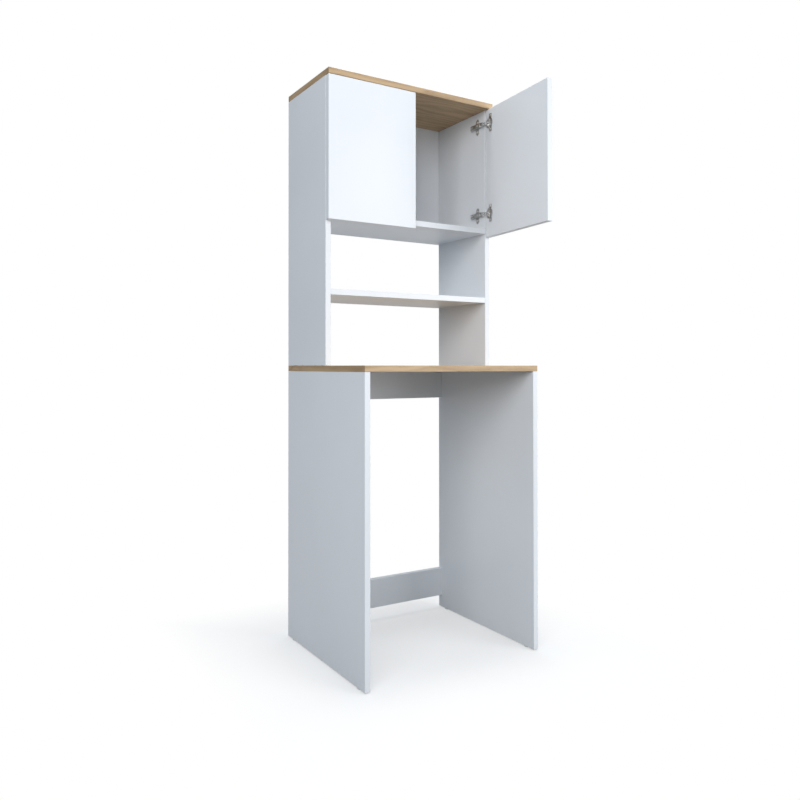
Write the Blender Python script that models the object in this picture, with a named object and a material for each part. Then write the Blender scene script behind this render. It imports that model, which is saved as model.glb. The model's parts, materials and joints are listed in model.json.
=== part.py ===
"""Washing machine cabinet: an open base for the machine, a worktop, two open shelves and a cupboard with two doors.

Metres, +Z up. The origin lies on the floor, at mid-width, halfway between the rear and an open door's free edge.
The doors hang on concealed cup hinges, each a linkage of an arm, two links and a cup.
"""

import bpy
import bmesh
import math
from mathutils import Matrix, Vector

# Driving dimensions of the carcass.
WIDTH = 0.640
HEIGHT = 1.800
BASE_DEPTH = 0.495
HUTCH_DEPTH = 0.265
REAR = 0.290
WORKTOP_HEIGHT = 0.900
BOARD = 0.018
SHELF_SHARE = 0.26
CUPBOARD_SHARE = 0.52445
RAIL_HEIGHT = 0.100
LOWER_RAIL_RISE = 0.047
EDGE_ROUND = 0.0006

# Doors.
DOOR_THICKNESS = 0.018
DOOR_SEAT = 0.0015
DOOR_TOP_GAP = 0.0015
DOOR_MEETING_GAP = 0.003
DOOR_DROP = 0.012
LEFT_OPENING = math.radians(0)
RIGHT_OPENING = math.radians(85)

# Back panel and its nails.
BACK_THICKNESS = 0.003
BACK_INSET = 0.003
NAIL_HEAD_RADIUS = 0.0025
NAIL_HEAD_HEIGHT = 0.0008
NAIL_RADIUS = 0.0008
NAIL_LENGTH = 0.016
NAILS_ACROSS = 4
NAILS_UP = 2

# Floor glides.
GLIDE_RADIUS = 0.010
GLIDE_HEIGHT = 0.003
GLIDE_NAIL_RADIUS = 0.0012
GLIDE_NAIL_LENGTH = 0.014
GLIDE_SETBACK = 0.040

# Wooden dowels, panel screws, cam locks and their bolts.
DOWEL_RADIUS = 0.004
DOWEL_FACE_DEPTH = 0.010
DOWEL_CHAMFER = 0.001
SCREW_RADIUS = 0.0026
SCREW_LENGTH = 0.048
CAM_RADIUS = 0.0075
CAM_HEIGHT = 0.0125
CAM_FROM_END = 0.024
CAM_SLOT = 0.0078
BOLT_THREAD_RADIUS = 0.0025
BOLT_THREAD_LENGTH = 0.010
BOLT_RADIUS = 0.0020
BOLT_HEAD_RADIUS = 0.0032
BOLT_HEAD_LENGTH = 0.003
BOLT_BORE_RADIUS = 0.0040

# Places of the fasteners: shares of a side's depth from the rear, and insets from its rear and front edges.
HUTCH_DOWEL_INSET = 0.040
HUTCH_SCREW_SHARES = (0.34, 0.68)
BASE_DOWEL_SHARE = 0.263
BASE_DOWEL_INSET = 0.055
BASE_SCREW_SHARES = (0.131, 0.414)
SHELF_CAM_SHARE = 0.5
SHELF_DOWEL_INSET = 0.050
RAIL_CAM_RISE = 0.030
RAIL_DOWEL_RISE = 0.070

# Hinge heights, above the cupboard floor and below the top panel.
HINGE_FROM_TOP = 0.050
HINGE_FROM_FLOOR = 0.050

# Hinge pivots, closed: inwards from the side's outer face, and forwards from its front edge.
OUTER_ARM_PIVOT = (0.0271, -0.0086)
OUTER_KNEE = (0.0280, 0.0050)
OUTER_CUP_PIVOT = (0.0075, 0.0045)
INNER_ARM_PIVOT = (0.0238, -0.0015)
INNER_KNEE = (0.0225, 0.0090)
INNER_CUP_PIVOT = (0.0075, 0.0095)
OUTER_TURN_SHARE = -0.25
INNER_TURN_SHARE = -0.08

# Links and pins.
LINK_THICKNESS = 0.0016
LINK_EYE_RADIUS = 0.0020
PIN_RADIUS = 0.0010
PIN_CLEARANCE = 0.0003
INNER_LINK_HALF = 0.0026
OUTER_LINK_HALF = 0.0052
OUTER_LINK_SLOT_HALF = 0.0031
OUTER_WEB_SETBACK = 0.0013
CUP_PIN_START = 0.0031
CUP_PIN_END = 0.0106

# Cup.
CUP_RADIUS = 0.0175
CUP_WALL = 0.0012
CUP_DEPTH = 0.0125
CUP_EDGE_TAB = 0.0030
CUP_RIM = 0.0010
CUP_WING_STEP = 0.0001
CUP_RIM_WIDTH = 0.0008
CUP_SCREW_OFFSET = 0.0060
CUP_SCREW_SPACING = 0.048
CUP_WING_HALF = 0.0070
CUP_WING_END = 0.0065
CUP_WING_CORNER = 0.0020
CUP_NOTCH_HALF = 0.0062
CUP_NOTCH_REACH = 0.0045
CUP_NOTCH_DEPTH = 0.0035
CUP_SCREW_RADIUS = 0.0015
CUP_SCREW_HEAD_RADIUS = 0.0034
CUP_SCREW_HEAD = 0.0010
CUP_SCREW_LENGTH = 0.012

# Arm.
ARM_CHEEK_INNER = 0.0060
ARM_CHEEK_OUTER = 0.0072
ARM_BACK_THICKNESS = 0.0012
ARM_LOW = 0.0212
ARM_HIGH = 0.0312
ARM_LENGTH = 0.062
ARM_BACK_END = 0.0130
ARM_NOSE = 0.0026
ARM_PIN_HALF = 0.0077
ARM_FORK_HALF = 0.0024
ARM_FORK_LENGTH = 0.0130

# Mounting plate and the two screws that hold the arm to it.
PLATE_SETBACK = 0.037
PLATE_THICKNESS = 0.0020
PLATE_HOLE_SPACING = 0.032
PLATE_WING_HALF = 0.027
PLATE_WING_WIDTH = 0.0140
PLATE_BODY_HALF = 0.0056
PLATE_BODY_FRONT = 0.018
PLATE_BODY_REAR = 0.060
PLATE_BODY_HEIGHT = 0.0085
PLATE_SCREW_RADIUS = 0.0022
PLATE_SCREW_HEAD_RADIUS = 0.0040
PLATE_SCREW_HEAD = 0.0016
PLATE_SCREW_LENGTH = 0.0130
FIXING_SCREW_PLACE = 0.0540
SIDE_SCREW_PLACE = 0.0270
ADJUST_SCREW_RADIUS = 0.0019
ADJUST_HEAD_RADIUS = 0.0038
ADJUST_HEAD = 0.0018
ADJUST_BITE = 0.0035

# Clearances and overruns.
SEAM = 0.0003
HOLE_CLEARANCE = 0.0003
OVERRUN = 0.002
WELD = 0.00001
EYE_SIDES = 10
BORE_SIDES = 8
CUP_SIDES = 28

# Sizes that follow.
HALF = WIDTH / 2
INNER_HALF = HALF - BOARD
SHELF_TOP = WORKTOP_HEIGHT + (HEIGHT - WORKTOP_HEIGHT) * SHELF_SHARE
CUPBOARD_FLOOR_TOP = WORKTOP_HEIGHT + (HEIGHT - WORKTOP_HEIGHT) * CUPBOARD_SHARE
SIDE_MIDDLE = HALF - BOARD / 2
FRONT = REAR - HUTCH_DEPTH
DOOR_FACE_DEPTH = HUTCH_DEPTH + DOOR_SEAT + DOOR_THICKNESS
WORKTOP_UNDER = WORKTOP_HEIGHT - BOARD
TOP_UNDER = HEIGHT - BOARD
CUPBOARD_FLOOR_UNDER = CUPBOARD_FLOOR_TOP - BOARD
DOOR_TOP = TOP_UNDER - DOOR_TOP_GAP
DOOR_BOTTOM = CUPBOARD_FLOOR_UNDER - DOOR_DROP
DOOR_WIDTH = HALF - DOOR_MEETING_GAP / 2
CUP_MIDDLE = CUP_EDGE_TAB + CUP_RADIUS
HINGE_HEIGHTS = {
    "upper": TOP_UNDER - HINGE_FROM_TOP,
    "lower": CUPBOARD_FLOOR_TOP + HINGE_FROM_FLOOR,
}
HANDS = {"left": 1, "right": -1}
OPENINGS = {"left": LEFT_OPENING, "right": RIGHT_OPENING}
X_AXIS = Vector((1, 0, 0))
Y_AXIS = Vector((0, 1, 0))
Z_AXIS = Vector((0, 0, 1))


def clear_scene():
    for obj in list(bpy.data.objects):
        bpy.data.objects.remove(obj, do_unlink=True)


def finish(name, colour, roughness, metallic=0.0):
    made = bpy.data.materials.new(name)
    made.use_nodes = True
    shader = made.node_tree.nodes["Principled BSDF"]
    shader.inputs["Base Color"].default_value = (*colour, 1)
    shader.inputs["Roughness"].default_value = roughness
    shader.inputs["Metallic"].default_value = metallic
    return made


def add_object(name, mesh_maker, material, parent=None, origin=Vector(), smooth=False):
    """Makes a closed mesh, places its origin and gives it its material and parent."""
    bmesh.ops.remove_doubles(mesh_maker, verts=mesh_maker.verts, dist=WELD)
    bmesh.ops.recalc_face_normals(mesh_maker, faces=mesh_maker.faces)
    bmesh.ops.translate(mesh_maker, verts=mesh_maker.verts, vec=-origin)
    mesh = bpy.data.meshes.new(name)
    mesh_maker.to_mesh(mesh)
    mesh_maker.free()
    if smooth:
        mesh.shade_smooth()
        mesh.set_sharp_from_angle(angle=math.radians(35))
    obj = bpy.data.objects.new(name, mesh)
    if material:
        mesh.materials.append(material)
    bpy.context.scene.collection.objects.link(obj)
    if parent:
        obj.parent = parent
    else:
        obj.location = origin
    return obj


def add_helper(piece, mesh_maker, operation, origin=Vector(), solver="EXACT"):
    """Cuts a mesh from a piece, or joins it to it. The helper moves with the piece."""
    count = len(piece.modifiers)
    helper = add_object(f"{piece.name}_{operation.lower()}_{count}", mesh_maker, None, None, origin)
    helper.parent = piece
    helper.location = Vector()
    helper.hide_render = True
    helper.display_type = "WIRE"
    change = piece.modifiers.new(f"{operation.lower()} {count}", "BOOLEAN")
    change.operation = operation
    change.object = helper
    change.solver = solver


def add_box(maker, low, high):
    middle = (Vector(low) + Vector(high)) / 2
    size = Vector(high) - Vector(low)
    scale = Matrix.Diagonal((*size, 1))
    return bmesh.ops.create_cube(maker, size=1, matrix=Matrix.Translation(middle) @ scale)["verts"]


def add_rod(maker, start, direction, radius, length, sides=BORE_SIDES):
    """A cylinder from a point along a direction, with flats that line up for every rod of one direction."""
    turn = direction.to_track_quat("Z", "Y").to_matrix().to_4x4()
    middle = start + direction.normalized() * length / 2
    bmesh.ops.create_cone(
        maker,
        cap_ends=True,
        segments=sides,
        radius1=radius,
        radius2=radius,
        depth=length,
        matrix=Matrix.Translation(middle) @ turn,
    )


def add_turned(maker, profile, start, direction, sides):
    """Turns a profile of (radius, distance along) round an axis, from one point on the axis to another."""
    turn = direction.to_track_quat("Z", "Y").to_matrix()
    rings = []
    for radius, far in profile:
        count = sides if radius else 1
        ring = []
        for step in range(count):
            angle = math.tau * step / sides
            place = Vector((radius * math.sin(angle), radius * math.cos(angle), far))
            ring.append(maker.verts.new(start + turn @ place))
        rings.append(ring)
    for low, high in zip(rings, rings[1:]):
        for step in range(sides):
            after = step + 1
            corners = (low[step % len(low)], low[after % len(low)], high[after % len(high)], high[step % len(high)])
            maker.faces.new(dict.fromkeys(corners))


def add_prism(maker, low_loop, high_loop):
    """A solid between two outlines with the same number of points."""
    low = [maker.verts.new(point) for point in low_loop]
    high = [maker.verts.new(point) for point in high_loop]
    maker.faces.new(low)
    maker.faces.new(list(reversed(high)))
    for index in range(len(low)):
        after = (index + 1) % len(low)
        maker.faces.new((low[index], high[index], high[after], low[after]))


def add_board(name, low, high, material, holes=(), bores=(), studs=None):
    """A board with softened edges, its drilled holes, and the dowels, screws or nails that are fixed in it."""
    maker = bmesh.new()
    add_box(maker, low, high)
    bmesh.ops.bevel(
        maker,
        geom=list(maker.edges),
        offset=EDGE_ROUND,
        segments=1,
        affect="EDGES",
    )
    board = add_object(name, maker, material)
    if holes:
        cutter = bmesh.new()
        for start, direction, radius, length in holes:
            add_rod(cutter, start - direction * OVERRUN, direction, radius, length + OVERRUN)
        add_helper(board, cutter, "DIFFERENCE")
    for start, direction, radius, length in bores:
        cutter = bmesh.new()
        add_rod(cutter, start - direction * OVERRUN, direction, radius, length + OVERRUN, EYE_SIDES)
        add_helper(board, cutter, "DIFFERENCE")
    if studs:
        add_helper(board, studs, "UNION")
    return board


class Joinery:
    """Gathers the fasteners of the carcass, and the holes that each board needs for them."""

    def __init__(self):
        self.holes = {}
        self.cam_bores = {}
        self.studs = {}
        self.cams = []

    def drill(self, board, start, direction, radius, length):
        self.holes.setdefault(board, []).append((start, direction, radius, length))

    def fix(self, board, profile, start, direction):
        """Fixes a turned dowel, screw or nail in a board."""
        self.studs.setdefault(board, []).append((profile, start, direction))

    def dowel(self, face_board, end_board, point, direction):
        """A dowel glued into a board's end, and its hole in another board's face. The point lies on the joint."""
        depth = DOWEL_FACE_DEPTH + HOLE_CLEARANCE
        self.drill(face_board, point, -direction, DOWEL_RADIUS + HOLE_CLEARANCE, depth)
        profile = (
            (0, 0),
            (DOWEL_RADIUS - DOWEL_CHAMFER, 0),
            (DOWEL_RADIUS, DOWEL_CHAMFER),
            (DOWEL_RADIUS, DOWEL_FACE_DEPTH + OVERRUN),
            (0, DOWEL_FACE_DEPTH + OVERRUN),
        )
        self.fix(end_board, profile, point - direction * DOWEL_FACE_DEPTH, direction)

    def screw(self, face_board, end_board, point, direction):
        """A screw that comes through one board into another board's end. The point lies on the joint."""
        bite = SCREW_LENGTH - BOARD
        radius = SCREW_RADIUS + HOLE_CLEARANCE
        self.drill(end_board, point, direction, radius, bite + HOLE_CLEARANCE)
        profile = (
            (0, -OVERRUN),
            (SCREW_RADIUS, -OVERRUN),
            (SCREW_RADIUS, bite - SCREW_RADIUS),
            (0, bite),
        )
        self.fix(face_board, profile, point, direction)

    def cam(self, name, side_board, shelf_board, end_point, inward, into):
        """A bolt in a side's face, and the cam in the shelf that pulls on its head."""
        thread = BOLT_THREAD_RADIUS + HOLE_CLEARANCE
        self.drill(side_board, end_point, -inward, thread, BOLT_THREAD_LENGTH + HOLE_CLEARANCE)
        self.drill(shelf_board, end_point, inward, BOLT_BORE_RADIUS, CAM_FROM_END)
        face_point = end_point + inward * CAM_FROM_END - into * BOARD / 2
        bore = CAM_RADIUS + HOLE_CLEARANCE
        depth = CAM_HEIGHT + HOLE_CLEARANCE * 2
        self.cam_bores.setdefault(shelf_board, []).append((face_point, into, bore, depth))
        self.cams.append((name, end_point, inward, face_point + into * HOLE_CLEARANCE, into))

    def board(self, name, low, high, material):
        studs = None
        if name in self.studs:
            studs = bmesh.new()
            for profile, start, direction in self.studs[name]:
                add_turned(studs, profile, start, direction, BORE_SIDES)
        return add_board(name, low, high, material, self.holes.get(name, ()), self.cam_bores.get(name, ()), studs)


def plan_joinery():
    """Places every dowel, screw and cam of the carcass."""
    plan = Joinery()
    for side, hand in HANDS.items():
        outward = -hand
        x = outward * SIDE_MIDDLE
        base, hutch = f"base_side_{side}", f"hutch_side_{side}"
        inward = X_AXIS * hand
        for place in (BASE_DEPTH * BASE_DOWEL_SHARE, BASE_DEPTH - BASE_DOWEL_INSET):
            plan.dowel("worktop", base, Vector((x, REAR - place, WORKTOP_UNDER)), -Z_AXIS)
        for share in BASE_SCREW_SHARES:
            plan.screw("worktop", base, Vector((x, REAR - BASE_DEPTH * share, WORKTOP_UNDER)), -Z_AXIS)
        for place in (HUTCH_DOWEL_INSET, HUTCH_DEPTH - HUTCH_DOWEL_INSET):
            plan.dowel("worktop", hutch, Vector((x, REAR - place, WORKTOP_HEIGHT)), Z_AXIS)
            plan.dowel("top_panel", hutch, Vector((x, REAR - place, TOP_UNDER)), -Z_AXIS)
        for place in (HUTCH_DEPTH * share for share in HUTCH_SCREW_SHARES):
            plan.screw("worktop", hutch, Vector((x, REAR - place, WORKTOP_HEIGHT)), Z_AXIS)
            plan.screw("top_panel", hutch, Vector((x, REAR - place, TOP_UNDER)), -Z_AXIS)
        end_x = outward * INNER_HALF
        for shelf, top in (("middle_shelf", SHELF_TOP), ("cupboard_floor", CUPBOARD_FLOOR_TOP)):
            middle = top - BOARD / 2
            end = Vector((end_x, REAR - HUTCH_DEPTH * SHELF_CAM_SHARE, middle))
            plan.cam(f"{shelf}_{side}", hutch, shelf, end, inward, -Z_AXIS)
            for place in (SHELF_DOWEL_INSET, HUTCH_DEPTH - SHELF_DOWEL_INSET):
                plan.dowel(hutch, shelf, Vector((end_x, REAR - place, middle)), inward)
        for rail, low in rail_heights().items():
            end = Vector((end_x, REAR - BOARD / 2, low + RAIL_CAM_RISE))
            plan.cam(f"{rail}_{side}", base, rail, end, inward, -Y_AXIS)
            plan.dowel(base, rail, Vector((end_x, REAR - BOARD / 2, low + RAIL_DOWEL_RISE)), inward)
    nail = (
        (0, -NAIL_HEAD_HEIGHT),
        (NAIL_HEAD_RADIUS, -NAIL_HEAD_HEIGHT),
        (NAIL_HEAD_RADIUS, BACK_THICKNESS / 2),
        (NAIL_RADIUS, BACK_THICKNESS / 2),
        (NAIL_RADIUS, NAIL_LENGTH - NAIL_RADIUS),
        (0, NAIL_LENGTH),
    )
    for x, z in nail_places():
        start = Vector((x, REAR, z))
        reach = NAIL_LENGTH - BACK_THICKNESS
        plan.drill(nailed_board(x, z), start, -Y_AXIS, NAIL_RADIUS + HOLE_CLEARANCE, reach)
        plan.fix("cupboard_back", nail, start + Y_AXIS * (SEAM + BACK_THICKNESS), -Y_AXIS)
    for side, _, x, y in glide_places():
        reach = GLIDE_NAIL_LENGTH + HOLE_CLEARANCE
        start = Vector((x, y, GLIDE_HEIGHT + SEAM))
        plan.drill(f"base_side_{side}", start, Z_AXIS, GLIDE_NAIL_RADIUS + HOLE_CLEARANCE, reach)
    for side, hand in HANDS.items():
        for height in HINGE_HEIGHTS.values():
            for way in (-1, 1):
                z = height + way * PLATE_HOLE_SPACING / 2
                start = hinge_point(hand, BOARD, -PLATE_SETBACK, z)
                reach = PLATE_SCREW_LENGTH - PLATE_THICKNESS + HOLE_CLEARANCE
                radius = PLATE_SCREW_RADIUS + HOLE_CLEARANCE
                plan.drill(f"hutch_side_{side}", start, -X_AXIS * hand, radius, reach)
    return plan


def rail_heights():
    """The lower edge of each rear rail."""
    return {
        "upper_rail": WORKTOP_UNDER - SEAM - RAIL_HEIGHT,
        "lower_rail": LOWER_RAIL_RISE,
    }


def nail_rows():
    return CUPBOARD_FLOOR_TOP - BOARD / 2, HEIGHT - BOARD / 2


def nail_places():
    """The nails' places on the back panel: two rows across, and a column up each side between them."""
    low, high = nail_rows()
    step_across = SIDE_MIDDLE * 2 / (NAILS_ACROSS + 1)
    places = []
    for count in range(NAILS_ACROSS):
        x = step_across * (count + 1) - SIDE_MIDDLE
        places += [(x, low), (x, high)]
    step_up = (high - low) / (NAILS_UP + 1)
    for count in range(NAILS_UP):
        z = low + step_up * (count + 1)
        places += [(-SIDE_MIDDLE, z), (SIDE_MIDDLE, z)]
    return places


def nailed_board(x, z):
    low, high = nail_rows()
    if z == low:
        return "cupboard_floor"
    if z == high:
        return "top_panel"
    return "hutch_side_left" if x < 0 else "hutch_side_right"


def glide_places():
    for side, hand in HANDS.items():
        for end, setback in (("rear", GLIDE_SETBACK), ("front", BASE_DEPTH - GLIDE_SETBACK)):
            yield side, end, -hand * SIDE_MIDDLE, REAR - setback


def make_carcass(plan, white, wood, board_brown):
    """Sides, worktop, rails, shelves, top and back."""
    base_front = REAR - BASE_DEPTH
    for side, hand in HANDS.items():
        outer, inner = sorted((-hand * HALF, -hand * INNER_HALF))
        base_low = (outer, base_front, GLIDE_HEIGHT + SEAM)
        plan.board(f"base_side_{side}", base_low, (inner, REAR, WORKTOP_UNDER - SEAM), white)
        hutch_low = (outer, FRONT, WORKTOP_HEIGHT + SEAM)
        plan.board(f"hutch_side_{side}", hutch_low, (inner, REAR, TOP_UNDER - SEAM), white)
    plan.board("worktop", (-HALF, base_front, WORKTOP_UNDER), (HALF, REAR, WORKTOP_HEIGHT), wood)
    plan.board("top_panel", (-HALF, REAR - DOOR_FACE_DEPTH, TOP_UNDER), (HALF, REAR, HEIGHT), wood)
    reach = INNER_HALF - SEAM
    for rail, low in rail_heights().items():
        plan.board(rail, (-reach, REAR - BOARD, low), (reach, REAR, low + RAIL_HEIGHT), white)
    for shelf, top in (("middle_shelf", SHELF_TOP), ("cupboard_floor", CUPBOARD_FLOOR_TOP)):
        plan.board(shelf, (-reach, FRONT, top - BOARD), (reach, REAR, top), white)
    back_low = (BACK_INSET - HALF, REAR + SEAM, CUPBOARD_FLOOR_UNDER + BACK_INSET)
    back_high = (HALF - BACK_INSET, REAR + SEAM + BACK_THICKNESS, HEIGHT - BACK_INSET)
    plan.board("cupboard_back", back_low, back_high, board_brown)


def make_cams(plan, zinc):
    """Each cam lock, slotted for its bolt's head, and each bolt."""
    neck = CAM_FROM_END - BOLT_HEAD_LENGTH / 2
    bolt = (
        (0, -BOLT_THREAD_LENGTH),
        (BOLT_THREAD_RADIUS, -BOLT_THREAD_LENGTH),
        (BOLT_THREAD_RADIUS, 0),
        (BOLT_HEAD_RADIUS, 0),
        (BOLT_HEAD_RADIUS, BOLT_HEAD_LENGTH),
        (BOLT_RADIUS, BOLT_HEAD_LENGTH),
        (BOLT_RADIUS, neck),
        (BOLT_HEAD_RADIUS, neck),
        (BOLT_HEAD_RADIUS, neck + BOLT_HEAD_LENGTH),
        (0, neck + BOLT_HEAD_LENGTH),
    )
    for name, end, inward, face, into in plan.cams:
        maker = bmesh.new()
        add_turned(maker, bolt, end + inward * SEAM, inward, BORE_SIDES)
        add_object(f"{name}_cam_bolt", maker, zinc, smooth=True)
        maker = bmesh.new()
        add_rod(maker, face, into, CAM_RADIUS, CAM_HEIGHT, EYE_SIDES)
        cam = add_object(f"{name}_cam", maker, zinc, smooth=True)
        middle = end + inward * CAM_FROM_END
        across = inward.cross(into)
        half = CAM_SLOT / 2
        corners = [
            middle + inward * far + across * half * way + into * half * level
            for far in (-CAM_RADIUS - OVERRUN, half)
            for way in (-1, 1)
            for level in (-1, 1)
        ]
        low = [min(point[axis] for point in corners) for axis in range(len(middle))]
        high = [max(point[axis] for point in corners) for axis in range(len(middle))]
        slot = bmesh.new()
        add_box(slot, low, high)
        add_helper(cam, slot, "DIFFERENCE")


def make_glides(plastic):
    glide = (
        (0, 0),
        (GLIDE_RADIUS - GLIDE_HEIGHT / 2, 0),
        (GLIDE_RADIUS, GLIDE_HEIGHT / 2),
        (GLIDE_RADIUS, GLIDE_HEIGHT),
        (GLIDE_NAIL_RADIUS, GLIDE_HEIGHT),
        (GLIDE_NAIL_RADIUS, GLIDE_HEIGHT + GLIDE_NAIL_LENGTH - GLIDE_NAIL_RADIUS),
        (0, GLIDE_HEIGHT + GLIDE_NAIL_LENGTH),
    )
    for side, end, x, y in glide_places():
        maker = bmesh.new()
        add_turned(maker, glide, Vector((x, y, 0)), Z_AXIS, CUP_SIDES // 2)
        add_object(f"floor_glide_{side}_{end}", maker, plastic, smooth=True)


def hinge_point(hand, inwards, forwards, height):
    """A hinge place, from the side's outer face and front edge, mirrored for the right hand."""
    return Vector((hand * (inwards - HALF), FRONT - forwards, height))


def add_uv_prism(maker, hand, outline, low, high):
    """An outline of (inwards, forwards) points, extruded between two heights."""
    low_loop = [hinge_point(hand, *point, low) for point in outline]
    high_loop = [hinge_point(hand, *point, high) for point in outline]
    add_prism(maker, low_loop, high_loop)


def strap_outline(start, knee, end):
    """The outline of a bent link: an eye round each pivot, and a strip of even thickness between."""
    points = [Vector(start), Vector(knee), Vector(end)]
    half = LINK_THICKNESS / 2
    first = (points[1] - points[0]).normalized()
    last = (points[2] - points[1]).normalized()
    bisector = (first + last).normalized()
    mitre = Vector((-bisector.y, bisector.x)) * half / bisector.dot(first)
    outline = []
    open_angle = math.asin(half / LINK_EYE_RADIUS)
    for centre, away in ((points[0], -first), (points[2], last)):
        heading = math.atan2(away.y, away.x)
        sweep = math.pi - open_angle
        for count in range(EYE_SIDES + 1):
            angle = heading - sweep + 2 * sweep * count / EYE_SIDES
            outline.append(centre + Vector((math.cos(angle), math.sin(angle))) * LINK_EYE_RADIUS)
        outline.append(points[1] + (-mitre if away == -first else mitre))
    return [tuple(point) for point in outline]


def make_outer_link(name, hand, height, material, parent):
    """A folded link: a web at the arm, and two ears that straddle the inner link in the cup."""
    origin = hinge_point(hand, *OUTER_ARM_PIVOT, 0)
    maker = bmesh.new()
    outline = strap_outline(OUTER_ARM_PIVOT, OUTER_KNEE, OUTER_CUP_PIVOT)
    add_uv_prism(maker, hand, outline, height - OUTER_LINK_HALF, height + OUTER_LINK_HALF)
    link = add_object(name, maker, material, parent, origin, True)
    slot = bmesh.new()
    web = OUTER_KNEE[0] - OUTER_WEB_SETBACK
    rear = OUTER_ARM_PIVOT[1] + LINK_EYE_RADIUS + PIN_CLEARANCE
    area = (
        (OUTER_CUP_PIVOT[0] - LINK_EYE_RADIUS - OVERRUN, rear),
        (web, rear),
        (web, INNER_CUP_PIVOT[1]),
        (OUTER_CUP_PIVOT[0] - LINK_EYE_RADIUS - OVERRUN, INNER_CUP_PIVOT[1]),
    )
    add_uv_prism(slot, hand, area, height - OUTER_LINK_SLOT_HALF, height + OUTER_LINK_SLOT_HALF)
    add_helper(link, slot, "DIFFERENCE", origin)
    bores = bmesh.new()
    for pivot in (OUTER_ARM_PIVOT, OUTER_CUP_PIVOT):
        add_pin(bores, hand, pivot, height, -OUTER_LINK_HALF - OVERRUN, OUTER_LINK_HALF + OVERRUN, PIN_CLEARANCE)
    add_helper(link, bores, "DIFFERENCE", origin)


def make_inner_link(name, hand, height, material, parent):
    """The hooked inner link, between the outer link's ears."""
    origin = hinge_point(hand, *INNER_ARM_PIVOT, 0)
    maker = bmesh.new()
    outline = strap_outline(INNER_ARM_PIVOT, INNER_KNEE, INNER_CUP_PIVOT)
    add_uv_prism(maker, hand, outline, height - INNER_LINK_HALF, height + INNER_LINK_HALF)
    link = add_object(name, maker, material, parent, origin, True)
    bores = bmesh.new()
    for pivot in (INNER_ARM_PIVOT, INNER_CUP_PIVOT):
        add_pin(bores, hand, pivot, height, -INNER_LINK_HALF - OVERRUN, INNER_LINK_HALF + OVERRUN, PIN_CLEARANCE)
    add_helper(link, bores, "DIFFERENCE", origin)


def add_pin(maker, hand, pivot, height, low, high, extra=0):
    start = hinge_point(hand, *pivot, height + low)
    add_rod(maker, start, Z_AXIS, PIN_RADIUS + extra, high - low, EYE_SIDES)


def make_arm(name, hand, height, material):
    """A folded channel, open to the side panel: two cheeks that hold the pins, and a back with a forked end."""
    nose_low = INNER_ARM_PIVOT[0] - ARM_NOSE
    nose_high = INNER_ARM_PIVOT[1] + ARM_NOSE
    back = ARM_HIGH
    cheek = (
        (ARM_LOW, -ARM_LENGTH),
        (ARM_LOW, nose_high - ARM_NOSE / 2),
        (nose_low + ARM_NOSE / 2, nose_high),
        (INNER_ARM_PIVOT[0] + ARM_NOSE / 2, nose_high),
        (OUTER_ARM_PIVOT[0] + ARM_NOSE, OUTER_ARM_PIVOT[1] + ARM_NOSE),
        (back, -ARM_BACK_END),
        (back, -ARM_LENGTH),
    )
    maker = bmesh.new()
    add_uv_prism(maker, hand, cheek, height - ARM_CHEEK_OUTER, height + ARM_CHEEK_OUTER)
    arm = add_object(name, maker, material, smooth=True)
    hollow = bmesh.new()
    under = back - ARM_BACK_THICKNESS
    rear = -ARM_LENGTH - OVERRUN
    ahead = nose_high + OVERRUN
    channel = (
        (ARM_LOW - OVERRUN, rear),
        (under, rear),
        (under, -ARM_BACK_END - ARM_BACK_THICKNESS),
        (back + OVERRUN, -ARM_BACK_END - ARM_BACK_THICKNESS),
        (back + OVERRUN, ahead),
        (ARM_LOW - OVERRUN, ahead),
    )
    add_uv_prism(hollow, hand, channel, height - ARM_CHEEK_INNER, height + ARM_CHEEK_INNER)
    add_helper(arm, hollow, "DIFFERENCE")
    fork = (
        (under - OVERRUN, rear),
        (back + OVERRUN, rear),
        (back + OVERRUN, ARM_FORK_LENGTH - ARM_LENGTH),
        (under - OVERRUN, ARM_FORK_LENGTH - ARM_LENGTH),
    )
    opening = bmesh.new()
    add_uv_prism(opening, hand, fork, height - ARM_FORK_HALF, height + ARM_FORK_HALF)
    add_helper(arm, opening, "DIFFERENCE")
    fixed = bmesh.new()
    for pivot in (OUTER_ARM_PIVOT, INNER_ARM_PIVOT):
        add_pin(fixed, hand, pivot, height, -ARM_PIN_HALF, ARM_PIN_HALF)
    seat = hinge_point(hand, back, -SIDE_SCREW_PLACE, height)
    add_headed(
        fixed,
        seat,
        -X_AXIS * hand,
        ADJUST_HEAD_RADIUS,
        ADJUST_HEAD,
        ADJUST_SCREW_RADIUS,
        adjuster_reach(),
        -OVERRUN / 4,
    )
    add_helper(arm, fixed, "UNION")


def adjuster_reach():
    """How far an adjusting screw reaches below the arm's back, to its end in the mounting plate."""
    return ARM_HIGH - BOARD - SEAM - PLATE_BODY_HEIGHT + ADJUST_BITE


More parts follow.
